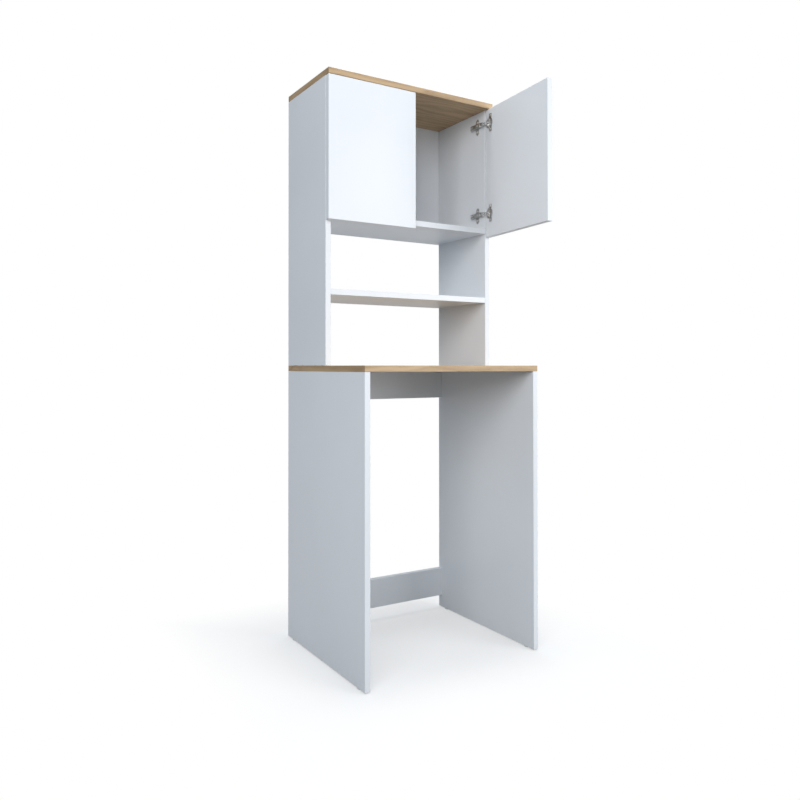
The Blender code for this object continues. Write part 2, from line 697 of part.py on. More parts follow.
def make_plate(name, hand, height, material):
    """The cross-shaped mounting plate: two wings for its screws, and a raised body inside the arm."""
    face = BOARD + SEAM
    body_high = face + PLATE_BODY_HEIGHT
    half = PLATE_WING_WIDTH / 2
    wing = (
        (face, -PLATE_SETBACK - half),
        (face + PLATE_THICKNESS, -PLATE_SETBACK - half),
        (face + PLATE_THICKNESS, half - PLATE_SETBACK),
        (face, half - PLATE_SETBACK),
    )
    body = (
        (face, -PLATE_BODY_REAR),
        (body_high, -PLATE_BODY_REAR),
        (body_high, -PLATE_BODY_FRONT - PLATE_THICKNESS),
        (body_high - PLATE_THICKNESS, -PLATE_BODY_FRONT),
        (face, -PLATE_BODY_FRONT),
    )
    maker = bmesh.new()
    add_uv_prism(maker, hand, wing, height - PLATE_WING_HALF, height + PLATE_WING_HALF)
    bmesh.ops.bevel(
        maker,
        geom=[edge for edge in maker.edges if abs(edge.verts[0].co.x - edge.verts[1].co.x) > PLATE_THICKNESS / 2],
        offset=half / 2,
        segments=3,
        affect="EDGES",
    )
    plate = add_object(name, maker, material, smooth=True)
    centre = bmesh.new()
    add_uv_prism(centre, hand, body, height - PLATE_BODY_HALF, height + PLATE_BODY_HALF)
    add_helper(plate, centre, "UNION")
    bores = bmesh.new()
    for place in (FIXING_SCREW_PLACE, SIDE_SCREW_PLACE):
        start = hinge_point(hand, body_high - ADJUST_BITE - HOLE_CLEARANCE, -place, height)
        reach = ADJUST_BITE + OVERRUN
        add_rod(bores, start, X_AXIS * hand, ADJUST_SCREW_RADIUS + HOLE_CLEARANCE, reach, EYE_SIDES)
    add_helper(plate, bores, "DIFFERENCE")
    screws = bmesh.new()
    for way in (-1, 1):
        z = height + way * PLATE_HOLE_SPACING / 2
        add_headed(
            screws,
            hinge_point(hand, face + PLATE_THICKNESS, -PLATE_SETBACK, z),
            -X_AXIS * hand,
            PLATE_SCREW_HEAD_RADIUS,
            PLATE_SCREW_HEAD,
            PLATE_SCREW_RADIUS,
            PLATE_SCREW_LENGTH - HOLE_CLEARANCE,
            -OVERRUN / 4,
        )
    add_helper(plate, screws, "UNION")


def add_headed(maker, start, direction, head_radius, head, radius, length, lift=SEAM):
    """A pan-headed screw. Its head stands off its seat by a lift, which is negative where the two are fused."""
    profile = (
        (0, -SEAM - head),
        (head_radius - head / 2, -SEAM - head),
        (head_radius, -SEAM - head / 2),
        (head_radius, -lift),
        (radius, -lift),
        (radius, length),
        (0, length),
    )
    add_turned(maker, profile, start, direction, EYE_SIDES)


def make_fixing_screw(name, hand, height, material):
    """The screw that holds the arm's forked end down on the mounting plate."""
    maker = bmesh.new()
    add_headed(
        maker,
        hinge_point(hand, ARM_HIGH, -FIXING_SCREW_PLACE, height),
        -X_AXIS * hand,
        ADJUST_HEAD_RADIUS,
        ADJUST_HEAD,
        ADJUST_SCREW_RADIUS,
        adjuster_reach(),
    )
    add_object(name, maker, material, smooth=True)


def cup_screw_place(way, height):
    return CUP_MIDDLE + CUP_SCREW_OFFSET, height + way * CUP_SCREW_SPACING / 2


def make_cup(name, hand, height, material, parent, origin):
    """The cup with its thin flange, the notch that lets the links swing out, and its pin and screw holes."""
    forward = -Y_AXIS
    rim = DOOR_SEAT - CUP_RIM
    middle = hinge_point(hand, CUP_MIDDLE, rim, height)
    floor = CUP_RIM + CUP_DEPTH
    body = (
        (0, 0),
        (CUP_RADIUS + CUP_RIM_WIDTH, 0),
        (CUP_RADIUS + CUP_RIM_WIDTH, CUP_RIM - SEAM),
        (CUP_RADIUS, CUP_RIM - SEAM),
        (CUP_RADIUS, floor),
        (0, floor),
    )
    maker = bmesh.new()
    add_turned(maker, body, middle, forward, CUP_SIDES)
    cup = add_object(name, maker, material, parent, origin, True)

    flange = bmesh.new()
    screw_line, _ = cup_screw_place(1, height)
    wide, narrow = CUP_WING_HALF, CUP_WING_HALF - CUP_WING_CORNER
    tall = CUP_SCREW_SPACING / 2 + CUP_WING_END
    short = tall - CUP_WING_CORNER
    corners = ((wide, short), (narrow, tall), (-narrow, tall), (-wide, short))
    outline = [(screw_line + across, height + up) for across, up in corners]
    outline += [(screw_line - across, height - up) for across, up in corners]
    near, far = rim + CUP_WING_STEP, DOOR_SEAT - SEAM - CUP_WING_STEP
    low_loop = [hinge_point(hand, inwards, near, z) for inwards, z in outline]
    high_loop = [hinge_point(hand, inwards, far, z) for inwards, z in outline]
    add_prism(flange, low_loop, high_loop)
    add_helper(cup, flange, "UNION", origin, "MANIFOLD")

    hollow = bmesh.new()
    inner = CUP_RADIUS - CUP_WALL
    add_rod(hollow, middle - forward * OVERRUN, forward, inner, floor - CUP_WALL + OVERRUN, CUP_SIDES)
    add_helper(cup, hollow, "DIFFERENCE", origin, "MANIFOLD")

    bores = bmesh.new()
    notch = (
        (CUP_EDGE_TAB - OVERRUN, rim - OVERRUN),
        (CUP_EDGE_TAB + CUP_NOTCH_REACH, rim - OVERRUN),
        (CUP_EDGE_TAB + CUP_NOTCH_REACH, DOOR_SEAT + CUP_NOTCH_DEPTH),
        (CUP_EDGE_TAB - OVERRUN, DOOR_SEAT + CUP_NOTCH_DEPTH),
    )
    add_uv_prism(bores, hand, notch, height - CUP_NOTCH_HALF, height + CUP_NOTCH_HALF)
    add_helper(cup, bores, "DIFFERENCE", origin, "MANIFOLD")

    fixed = bmesh.new()
    for way in (-1, 1):
        for pivot in (OUTER_CUP_PIVOT, INNER_CUP_PIVOT):
            ends = sorted((way * CUP_PIN_START, way * CUP_PIN_END))
            add_pin(fixed, hand, pivot, height, *ends)
        inwards, z = cup_screw_place(way, height)
        add_headed(
            fixed,
            hinge_point(hand, inwards, rim, z),
            forward,
            CUP_SCREW_HEAD_RADIUS,
            CUP_SCREW_HEAD,
            CUP_SCREW_RADIUS,
            CUP_SCREW_LENGTH,
            -SEAM,
        )
    add_helper(cup, fixed, "UNION", origin, "MANIFOLD")


def make_door(side, hand, white, zinc, parent, origin):
    """A door leaf with its bores, and its two cups."""
    outer = hinge_point(hand, 0, DOOR_SEAT, DOOR_BOTTOM)
    free = hinge_point(hand, DOOR_WIDTH, DOOR_SEAT + DOOR_THICKNESS, DOOR_TOP)
    low = Vector(min(pair) for pair in zip(outer, free))
    high = Vector(max(pair) for pair in zip(outer, free))
    maker = bmesh.new()
    add_box(maker, low, high)
    bmesh.ops.bevel(
        maker,
        geom=list(maker.edges),
        offset=EDGE_ROUND,
        segments=1,
        affect="EDGES",
    )
    door = add_object(f"{side}_door", maker, white, parent, origin)
    forward = -Y_AXIS
    bores = bmesh.new()
    for level, height in HINGE_HEIGHTS.items():
        start = hinge_point(hand, CUP_MIDDLE, DOOR_SEAT - OVERRUN, height)
        reach = OVERRUN + CUP_DEPTH + HOLE_CLEARANCE
        add_rod(bores, start, forward, CUP_RADIUS + HOLE_CLEARANCE, reach, CUP_SIDES)
        for way in (-1, 1):
            inwards, z = cup_screw_place(way, height)
            start = hinge_point(hand, inwards, DOOR_SEAT - OVERRUN, z)
            reach = OVERRUN + CUP_SCREW_LENGTH + HOLE_CLEARANCE
            add_rod(bores, start, forward, CUP_SCREW_RADIUS + HOLE_CLEARANCE, reach, EYE_SIDES)
        make_cup(f"{side}_{level}_hinge_cup", hand, height, zinc, parent, origin)
    add_helper(door, bores, "DIFFERENCE", origin)


def add_axis(name, point, parent, base):
    """An empty on a joint's axis. The base is where its parent stands while everything is closed."""
    axis = bpy.data.objects.new(name, None)
    bpy.context.scene.collection.objects.link(axis)
    axis.parent = parent
    axis.location = point - base
    return axis


def make_side_hardware(side, hand, white, zinc, polished):
    """The hinges and door of one hand, turned to their resting place."""
    link_point = hinge_point(hand, *OUTER_ARM_PIVOT, 0)
    door_point = hinge_point(hand, *OUTER_CUP_PIVOT, 0)
    inner_point = hinge_point(hand, *INNER_ARM_PIVOT, 0)
    link_axis = add_axis(f"{side}_outer_link_axis", link_point, None, Vector())
    door_axis = add_axis(f"{side}_door_axis", door_point, link_axis, link_point)
    inner_axis = add_axis(f"{side}_inner_link_axis", inner_point, None, Vector())
    for level, height in HINGE_HEIGHTS.items():
        make_plate(f"{side}_{level}_hinge_plate", hand, height, zinc)
        make_arm(f"{side}_{level}_hinge_arm", hand, height, zinc)
        make_fixing_screw(f"{side}_{level}_fixing_screw", hand, height, zinc)
        make_outer_link(f"{side}_{level}_outer_link", hand, height, polished, link_axis)
        make_inner_link(f"{side}_{level}_inner_link", hand, height, polished, inner_axis)
    make_door(side, hand, white, zinc, door_axis, door_point)
    opening = OPENINGS[side] * -hand
    link_axis.rotation_euler.z = opening * OUTER_TURN_SHARE
    door_axis.rotation_euler.z = opening * (1 - OUTER_TURN_SHARE)
    inner_axis.rotation_euler.z = opening * INNER_TURN_SHARE


def main():
    clear_scene()
    white = finish("white melamine", (0.84, 0.85, 0.87), 0.45)
    wood = finish("oak decor", (0.62, 0.44, 0.28), 0.5)
    board_white = finish("white fibreboard", (0.78, 0.78, 0.79), 0.6)
    zinc = finish("nickel-plated steel", (0.62, 0.62, 0.62), 0.35, 1.0)
    polished = finish("bright steel", (0.75, 0.75, 0.75), 0.2, 1.0)
    plastic = finish("white plastic", (0.80, 0.80, 0.80), 0.4)
    plan = plan_joinery()
    make_carcass(plan, white, wood, board_white)
    make_cams(plan, zinc)
    make_glides(plastic)
    for side, hand in HANDS.items():
        make_side_hardware(side, hand, white, zinc, polished)


main()
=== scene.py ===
"""Looks of a washing machine cabinet.

Melamine boards, oak decor and nickel-plated hinges, in a white studio with a camera.
"""

import json
import math

import bmesh
import bpy
from bpy.props import FloatProperty, FloatVectorProperty, PointerProperty
from mathutils import Matrix, Vector

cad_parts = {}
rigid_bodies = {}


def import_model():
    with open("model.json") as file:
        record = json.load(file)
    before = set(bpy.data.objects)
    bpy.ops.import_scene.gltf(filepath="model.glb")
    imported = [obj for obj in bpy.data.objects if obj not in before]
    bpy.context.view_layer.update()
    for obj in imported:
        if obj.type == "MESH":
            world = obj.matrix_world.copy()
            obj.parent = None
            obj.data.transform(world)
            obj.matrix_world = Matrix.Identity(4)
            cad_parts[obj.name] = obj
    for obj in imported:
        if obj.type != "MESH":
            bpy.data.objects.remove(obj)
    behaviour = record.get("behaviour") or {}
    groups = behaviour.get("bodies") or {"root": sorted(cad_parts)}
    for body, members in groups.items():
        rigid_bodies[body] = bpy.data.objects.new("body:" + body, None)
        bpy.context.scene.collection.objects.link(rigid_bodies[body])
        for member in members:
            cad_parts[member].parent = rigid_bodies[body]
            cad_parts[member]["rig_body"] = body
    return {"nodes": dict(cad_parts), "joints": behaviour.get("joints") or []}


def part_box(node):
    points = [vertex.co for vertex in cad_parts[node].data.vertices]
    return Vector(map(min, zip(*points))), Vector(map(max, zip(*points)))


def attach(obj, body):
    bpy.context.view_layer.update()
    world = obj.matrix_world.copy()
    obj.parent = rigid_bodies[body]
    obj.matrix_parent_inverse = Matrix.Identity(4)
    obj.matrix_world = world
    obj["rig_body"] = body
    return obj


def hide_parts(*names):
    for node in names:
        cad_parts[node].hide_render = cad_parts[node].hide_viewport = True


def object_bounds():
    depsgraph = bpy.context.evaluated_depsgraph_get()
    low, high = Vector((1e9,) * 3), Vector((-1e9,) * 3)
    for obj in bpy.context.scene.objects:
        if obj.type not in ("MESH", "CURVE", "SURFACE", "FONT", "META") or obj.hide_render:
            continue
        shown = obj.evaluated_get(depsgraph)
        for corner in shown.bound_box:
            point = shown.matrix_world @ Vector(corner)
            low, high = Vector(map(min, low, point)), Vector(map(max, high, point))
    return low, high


bl_info = {
    "name": "Washing Machine Cabinet Looks",
    "version": (1, 0, 0),
    "blender": (4, 5, 0),
    "location": "3D View > Sidebar > Cabinet",
    "description": "Dresses a washing machine cabinet in melamine, oak decor and nickel-plated hinges",
    "category": "Object",
}

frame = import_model()
CAD_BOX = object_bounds()
NODES = frame["nodes"]
SIDES = ("left", "right")
LEVELS = ("upper", "lower")
OUTWARD = {"left": -1, "right": 1}

WHITE_BOARDS = ["base_side_left", "base_side_right", "hutch_side_left", "hutch_side_right"]
WHITE_BOARDS += ["upper_rail", "lower_rail", "middle_shelf", "cupboard_floor"]
OAK_BOARDS = ["worktop", "top_panel"]
CAM_BOARDS = ["upper_rail", "lower_rail", "middle_shelf", "cupboard_floor"]

# The right door's hinge: the door turns by this much more than it opens, because its links turn back.
# The pivots are its places at rest, with the door open, and with the door closed.
DOOR_TURN = 1.25
RIGHT_HINGE = next(joint for joint in frame["joints"] if joint["name"] == "right_door_hinge")
REST_OPENING = math.radians(-RIGHT_HINGE["range_deg"][0] / DOOR_TURN)
REST_PIVOT = Vector((RIGHT_HINGE["pos_m"][0], RIGHT_HINGE["pos_m"][1], 0))
CLOSED_PIVOT = Vector((0.3125, 0.0205, 0))
OPENED = Matrix.Rotation(REST_OPENING, 3, "Z")
HALF_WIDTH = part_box("worktop")[1].x
HALF_HEIGHT = CAD_BOX[1].z / 2

# Edge banding, in metres.
BAND_THICKNESS = 0.0010
GLUE_LINE = 0.00018

# Screw caps: base and top radius of each kind, their height, and how far each sinks into its head.
PLATE_HEAD = (0.0040, 0.0034)
ARM_HEAD = (0.0038, 0.0031)
CUP_HEAD = (0.0034, 0.0029)
CAP_HEIGHT = 0.0008
CAP_SINK = 0.0005
CAP_SIDES = 24

# Where the hinges' screws sit: places along Y, and distances above and below the hinge's height.
BOARD = 0.018
SEAM = 0.0003
PLATE_THICKNESS = 0.0020
PLATE_SCREW_HEAD = 0.0016
PLATE_SCREW_PLACE = 0.062
PLATE_SCREW_SPREAD = 0.016
SIDE_SCREW_PLACE = 0.052
CUP_SCREW_FROM_SIDE = 0.0265
CUP_SCREW_PLACE = 0.0258
CUP_SCREW_SPREAD = 0.024

# Cam locks.
CAM_SIZES = {
    "Radius": 0.0075,
    "Height": 0.0125,
    "Recess length": 0.0092,
    "Recess width": 0.0018,
    "Recess depth": 0.0040,
    "Slot width": 0.0078,
}
CAM_SIDES = 32

# The back panel: the height of its nail heads, and the depth of raw board behind its painted front.
NAIL_HEAD = 0.0008
RAW_DEPTH = 0.0024

# Pressed steel: the distance that joins points, the flat and sharp angles, and the width of an arris.
MERGE = 0.00002
FLAT = math.radians(1)
SHARP = math.radians(35)
PRESSED_EDGE = 0.00012

# Colours of what no property sets.
GLUE = (0.50, 0.49, 0.47)
DUST = (0.58, 0.56, 0.53)
NAIL_STEEL = (0.50, 0.49, 0.47)
RAW_DARK = (0.20, 0.115, 0.058)
RAW_LIGHT = (0.31, 0.20, 0.115)
RAW_CLOUD = (0.26, 0.155, 0.08)
LAMP_COLOUR = (0.975, 0.985, 1.0)
SKY_COLOUR = (0.74, 0.87, 1, 1)
FLOOR_BOUNCE = (0.17, 0.18, 0.19, 1)
FLOOR_SHOWN = (0.98, 0.98, 0.98, 1)
WHITE = (1, 1, 1, 1)

DUST_HEIGHT = 0.05
RING_SPACING = 0.021

# The stage: where the lamps stand, where the floor turns pure white round the base, and the camera.
KEY_PLACE = (-2.9, -2.6, 2.4)
SIDE_PLACE = (2.2, -3.1, 1.7)
FILL_PLACE = (2.0, 3.0, 2.4)
TOP_PLACE = (0.1, 0.05, 4.4)
SHADOW_START = -0.02
SHADOW_END = 0.36
CAMERA_PLACE = (-1.3468, -1.9145, 0.8971)
CAMERA_ANGLES = (90.570, 0.0, -29.568)
CAMERA_LENS = 32.69
CAMERA_SENSOR = 36.0
CAMERA_SHIFT = (0.0666, -0.0509)
CAMERA_REACH = 200.0


class Signal:
    """A value or colour inside a node tree. Arithmetic on it adds Math nodes to that tree."""

    def __init__(self, tree, socket):
        self.tree = tree
        self.socket = socket

    def other(self, name):
        """Another output of the same node."""
        return Signal(self.tree, self.socket.node.outputs[name])

    def math(self, operation, first, second=0.0, clamp=False):
        settings = {"operation": operation, "use_clamp": clamp}
        return self.tree.node("ShaderNodeMath", settings, {0: first, 1: second})

    def __add__(self, value):
        return self.math("ADD", self, value)

    def __radd__(self, value):
        return self.math("ADD", value, self)

    def __sub__(self, value):
        return self.math("SUBTRACT", self, value)

    def __rsub__(self, value):
        return self.math("SUBTRACT", value, self)

    def __mul__(self, value):
        return self.math("MULTIPLY", self, value)

    def __truediv__(self, value):
        return self.math("DIVIDE", self, value)

    def __abs__(self):
        return self.math("ABSOLUTE", self)

    def __gt__(self, value):
        return self.math("GREATER_THAN", self, value)

    def sine(self):
        return self.math("SINE", self)

    def above(self, low, high):
        """0 below one level, 1 above the other, and a straight climb between."""
        return self.math("MULTIPLY", self - low, 1 / (high - low), clamp=True)


class NodeMaker:
    """Adds nodes to a tree: settings first, then the values or links of the sockets."""

    def node(self, kind, settings=None, inputs=None, output=0):
        made = self.tree.nodes.new(kind)
        for name, value in (settings or {}).items():
            setattr(made, name, value)
        for name, value in (inputs or {}).items():
            self.feed(made.inputs[name], value)
        return Signal(self, made.outputs[output])

    def feed(self, socket, value):
        if isinstance(value, list):
            for one in value:
                self.feed(socket, one)
        elif isinstance(value, Signal):
            self.tree.links.new(value.socket, socket)
        else:
            socket.default_value = value


class Finish(NodeMaker):
    """A material round its Principled shader, with patterns on Object coordinates."""

    def __init__(self, name):
        self.material = bpy.data.materials.new(name)
        self.material.use_nodes = True
        self.tree = self.material.node_tree
        self.shader = self.tree.nodes["Principled BSDF"]
        self.place = self.node("ShaderNodeTexCoord", output="Object")

    def set(self, name, value):
        self.feed(self.shader.inputs[name], value)

    def moved(self, place, scale=(1, 1, 1), location=(0, 0, 0), rotation=(0, 0, 0), kind="POINT"):
        inputs = {"Vector": place, "Scale": scale, "Location": location, "Rotation": rotation}
        return self.node("ShaderNodeMapping", {"vector_type": kind}, inputs)

    def noise(self, place, scale, detail=2.0, rough=0.5, stretch=(1, 1, 1)):
        if stretch != (1, 1, 1):
            place = self.moved(place, stretch)
        inputs = {"Vector": place, "Scale": scale, "Detail": detail, "Roughness": rough}
        return self.node("ShaderNodeTexNoise", {}, inputs)

    def axes(self, place):
        x = self.node("ShaderNodeSeparateXYZ", {}, {"Vector": place})
        return x, x.other("Y"), x.other("Z")

    def mix(self, share, first, second):
        """A colour between two others."""
        first, second = ((*c, 1) if isinstance(c, tuple) else c for c in (first, second))
        return self.node("ShaderNodeMix", {"data_type": "RGBA"}, {0: share, 6: first, 7: second}, 2)

    def bump(self, height, depth, strength):
        inputs = {"Height": height, "Distance": depth, "Strength": strength}
        self.set("Normal", self.node("ShaderNodeBump", {}, inputs))


class Recipe(NodeMaker):
    """A Geometry Nodes tree that puts one shape at each of many places, aimed along two axes."""

    def __init__(self, name, values):
        self.tree = bpy.data.node_groups.new(name, "GeometryNodeTree")
        self.values = values
        sockets = self.tree.interface
        sockets.new_socket("Places", in_out="INPUT", socket_type="NodeSocketGeometry")
        for label, value in values.items():
            kind = "NodeSocketFloat" if isinstance(value, float) else "NodeSocketMaterial"
            sockets.new_socket(label, in_out="INPUT", socket_type=kind)
        sockets.new_socket("Shapes", in_out="OUTPUT", socket_type="NodeSocketGeometry")
        self.start = self.tree.nodes.new("NodeGroupInput")

    def given(self, label):
        return Signal(self, self.start.outputs[label])

    def cube(self, size, middle):
        size = self.node("ShaderNodeCombineXYZ", {}, dict(enumerate(size)))
        made = self.node("GeometryNodeMeshCube", {}, {"Size": size})
        middle = self.node("ShaderNodeCombineXYZ", {}, dict(enumerate(middle)))
        return self.node("GeometryNodeTransform", {}, {"Geometry": made, "Translation": middle})

    def cut(self, shape, cutters):
        settings = {"operation": "DIFFERENCE"}
        return self.node("GeometryNodeMeshBoolean", settings, {"Mesh 1": shape, "Mesh 2": cutters})

    def cross(self, height, depth):
        """The two bars of a cross recess, centred half the shape's height above its origin."""
        long, wide = self.given("Recess length"), self.given("Recess width")
        sizes = ((long, wide, depth), (wide, long, depth))
        return [self.cube(size, (0.0, 0.0, height / 2)) for size in sizes]

    def scatter(self, shape):
        """Places the shape, and ends the tree in plain geometry with its material."""
        settings = {"data_type": "FLOAT_VECTOR"}
        aim, side = (
            self.node("GeometryNodeInputNamedAttribute", settings, {"Name": name}, "Attribute")
            for name in ("aim", "side")
        )
        settings = {"primary_axis": "Z", "secondary_axis": "X"}
        inputs = {"Primary Axis": aim, "Secondary Axis": side}
        turn = self.node("FunctionNodeAxesToRotation", settings, inputs)
        inputs = {"Points": self.given("Places"), "Instance": shape, "Rotation": turn}
        copies = self.node("GeometryNodeInstanceOnPoints", {}, inputs)
        plain = self.node("GeometryNodeRealizeInstances", {}, {"Geometry": copies})
        inputs = {"Geometry": plain, "Material": self.given("Material")}
        coloured = self.node("GeometryNodeSetMaterial", {}, inputs)
        end = self.tree.nodes.new("NodeGroupOutput")
        self.tree.links.new(coloured.socket, end.inputs["Shapes"])

    def make(self, name, rows):
        """Runs the tree on rows of (place, aim, side) and gives one plain mesh."""
        places, aims, across = zip(*rows)
        mesh = bpy.data.meshes.new(name)
        mesh.from_pydata([tuple(place) for place in places], [], [])
        for label, vectors in (("aim", aims), ("side", across)):
            attribute = mesh.attributes.new(label, "FLOAT_VECTOR", "POINT")
            attribute.data.foreach_set("vector", [number for vector in vectors for number in vector])
        holder = bpy.data.objects.new(name, mesh)
        bpy.context.scene.collection.objects.link(holder)
        modifier = holder.modifiers.new(name, "NODES")
        modifier.node_group = self.tree
        for item in self.tree.interface.items_tree:
            if item.name in self.values:
                modifier[item.identifier] = self.values[item.name]
        graph = bpy.context.evaluated_depsgraph_get()
        made = bpy.data.meshes.new_from_object(holder.evaluated_get(graph), depsgraph=graph)
        bpy.data.objects.remove(holder)
        if not made.polygons:
            raise RuntimeError(f"{name}: the recipe made no faces")
        return made


def add_piece(name, mesh, body):
    """A finished mesh as a piece that rides on a body."""
    mesh.shade_smooth()
    mesh.set_sharp_from_angle(angle=SHARP)
    piece = bpy.data.objects.new(name, mesh)
    bpy.context.scene.collection.objects.link(piece)
    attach(piece, body)
    return piece


def dress(names, material):
    """Gives CAD nodes their material."""
    for name in names:
        slots = NODES[name].data.materials
        slots.clear()
        slots.append(material)


def board_lines(name):
    """Where the glue line of a board's front edge banding runs: (axis, place)."""
    return [(1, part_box(name)[0].y + BAND_THICKNESS)]


def door_lines():
    """The glue lines of a door's four banded edges, for the left hand."""
    low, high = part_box("left_door")
    sideways = [(0, low.x + BAND_THICKNESS), (0, high.x - BAND_THICKNESS)]
    return sideways + [(2, low.z + BAND_THICKNESS), (2, high.z - BAND_THICKNESS)]


def glue_mask(finish, place, lines):
    """1 on a glue line, 0 away from it."""
    axes = finish.axes(place)
    mask = 0.0
    for axis, at in lines:
        mask = mask + (1 - abs(axes[axis] - at) / GLUE_LINE).above(0, 1)
    return mask


def melamine(name, colour, lines, door_side=None):
    """White melamine: a faint pearl texture, clouds of gloss, glue lines, and dust near the floor.

    The open right door takes its patterns in the place that it has when it is closed.
    """
    finish = Finish(name)
    place = finish.place
    if door_side == "right":
        place = finish.moved(place, location=REST_PIVOT, rotation=(0, 0, REST_OPENING), kind="TEXTURE")
        place = finish.moved(place, location=CLOSED_PIVOT)
    clouds = finish.noise(place, 2.5, 3)
    pearl = finish.noise(place, 850, 2, 0.6)
    fleck = finish.noise(place, 60, 4, 0.7)
    dull = tuple(value * 0.965 for value in colour)
    shade = finish.mix(clouds.above(0.35, 0.65), dull, tuple(colour))
    shade = finish.mix(glue_mask(finish, place, lines) * 0.4, shade, GLUE)
    height = finish.axes(finish.place)[2]
    dust = (1 - height / DUST_HEIGHT).above(0, 1) * fleck.above(0.45, 0.75) * 0.22
    shade = finish.mix(dust, shade, DUST)
    finish.set("Base Color", shade)
    finish.set("Roughness", 0.32 + clouds * 0.10 + pearl * 0.10)
    finish.set("IOR", 1.46)
    finish.bump(pearl + fleck * 0.4, 0.00004, 0.5)
    return finish.material


def oak(name, light, dark, lines):
    """Oak decor with its grain along the board, and along the banding on the board's ends."""
    finish = Finish(name)
    x, y, z = finish.axes(finish.place)
    turned = finish.node("ShaderNodeCombineXYZ", {}, {"X": y * 1.3 + 0.4, "Y": x, "Z": z})
    on_end = abs(x) > HALF_WIDTH - BAND_THICKNESS
    inputs = {0: on_end, 4: finish.place, 5: turned}
    place = finish.node("ShaderNodeMix", {"data_type": "VECTOR"}, inputs, 1)
    along, across, up = finish.axes(place)
    warp = finish.noise(place, 1.0, 3, 0.55, (1.6, 6, 6))
    tone = finish.noise(place, 1.0, 4, 0.6, (2.2, 16, 30))
    fibre = finish.noise(place, 1.0, 5, 0.65, (9, 420, 420))
    pores = finish.noise(place, 1.0, 2, 0.5, (55, 1300, 1300))
    knots = finish.noise(place, 1.0, 2, 0.5, (5, 17, 17))
    rings = ((across + up * 0.6 + warp * 0.16) * (math.tau / RING_SPACING)).sine() * 0.5 + 0.5
    streak = tone * 0.55 + rings * 0.2 + fibre * 0.35
    mid = tuple(a * 0.6 + b * 0.4 for a, b in zip(light, dark))
    deep = tuple(value * 0.5 for value in dark)
    shade = finish.mix(streak.above(0.38, 0.62), tuple(light), mid)
    shade = finish.mix(streak.above(0.58, 0.82) * 0.8, shade, tuple(dark))
    shade = finish.mix(knots.above(0.64, 0.78) * 0.55, shade, tuple(value * 0.62 for value in dark))
    pore = pores.above(0.60, 0.70) * streak.above(0.42, 0.62)
    shade = finish.mix(pore * 0.6, shade, deep)
    shade = finish.mix(glue_mask(finish, finish.place, lines) * 0.5, shade, deep)
    # Painted shade: the board's ends are mixed toward dark oak, so they look as shaded as the
    # worktop's left end.
    shade = finish.mix(on_end * 0.3, shade, tuple(dark))
    finish.set("Base Color", shade)
    finish.set("Roughness", 0.42 + fibre * 0.16)
    finish.bump(fibre * 0.5 - pore, 0.00010, 0.6)
    return finish.material


def fibreboard(name, colour):
    """Hardboard painted white on its front, raw behind, with steel nail heads."""
    finish = Finish(name)
    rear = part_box("cupboard_back")[1].y
    depth = finish.axes(finish.place)[1]
    raw = depth > rear - NAIL_HEAD - RAW_DEPTH
    nail = depth > rear - NAIL_HEAD / 2
    fibre = finish.noise(finish.place, 700, 4, 0.7)
    clouds = finish.noise(finish.place, 9, 4, 0.6)
    brown = finish.mix(fibre.above(0.3, 0.7), RAW_DARK, RAW_LIGHT)
    brown = finish.mix(clouds.above(0.35, 0.7) * 0.4, brown, RAW_CLOUD)
    shade = finish.mix(raw, tuple(colour), brown)
    finish.set("Base Color", finish.mix(nail, shade, NAIL_STEEL))
    finish.set("Metallic", nail * 1.0)
    finish.set("Roughness", 0.46 + raw * 0.3 - nail * 0.4 + fibre * 0.08)
    finish.bump(fibre, 0.00006, 0.5)
    return finish.material


def plated(name, colour, roughness, grain, depth):
    """Plated metal with fine rolling streaks, clouds of gloss and small handling marks."""
    finish = Finish(name)
    finish.set("Metallic", 1.0)
    streaks = finish.noise(finish.place, 1.0, 3, 0.6, (900, 900, 120))
    clouds = finish.noise(finish.place, 160, 3, 0.6)
    marks = finish.noise(finish.place, grain, 4, 0.7)
    dull = tuple(value * 0.72 for value in colour)
    shade = finish.mix(clouds.above(0.3, 0.7), dull, tuple(colour))
    shade = finish.mix(marks.above(0.58, 0.75) * 0.35, shade, tuple(value * 0.5 for value in colour))
    finish.set("Base Color", shade)
    finish.set("Roughness", roughness - 0.08 + clouds * 0.12 + streaks * 0.10)
    finish.bump(streaks + marks * 0.6, depth, 0.5)
    return finish.material


def moulded(name, colour):
    """Moulded plastic: satin, with a fine spark texture."""
    finish = Finish(name)
    spark = finish.noise(finish.place, 1400, 3, 0.6)
    clouds = finish.noise(finish.place, 90, 2)
    dull = tuple(value * 0.94 for value in colour)
    finish.set("Base Color", finish.mix(clouds.above(0.3, 0.7), dull, tuple(colour)))
    finish.set("Roughness", 0.38 + spark * 0.16)
    finish.bump(spark, 0.00004, 0.5)
    return finish.material


def pressed_mesh(node, material):
    """A copy of a hinge piece with its arrises rounded, as pressed steel has them."""
    maker = bmesh.new()
    maker.from_mesh(NODES[node].data)
    bmesh.ops.remove_doubles(maker, verts=maker.verts, dist=MERGE)
    bmesh.ops.dissolve_limit(maker, angle_limit=FLAT, verts=maker.verts, edges=maker.edges)
    sharp = [edge for edge in maker.edges if edge.is_manifold and edge.calc_face_angle() > SHARP]
    bmesh.ops.bevel(maker, geom=sharp, offset=PRESSED_EDGE, segments=2, profile=0.5, affect="EDGES")
    bmesh.ops.triangulate(maker, faces=[face for face in maker.faces if len(face.verts) > 4])
    mesh = bpy.data.meshes.new(node)
    maker.to_mesh(mesh)
    maker.free()
    mesh.materials.clear()
    mesh.materials.append(material)
    return mesh


def on_right_door(point):
    """Where a point of the closed right door lies while that door rests open."""
    return OPENED @ (point - CLOSED_PIVOT) + REST_PIVOT


def hinge_heights(side):
    """The height of the middle of each of a side's hinges."""
    heights = {}
    for level in LEVELS:
        low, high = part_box(f"{side}_{level}_inner_link")
        heights[level] = (low.z + high.z) / 2
    return heights


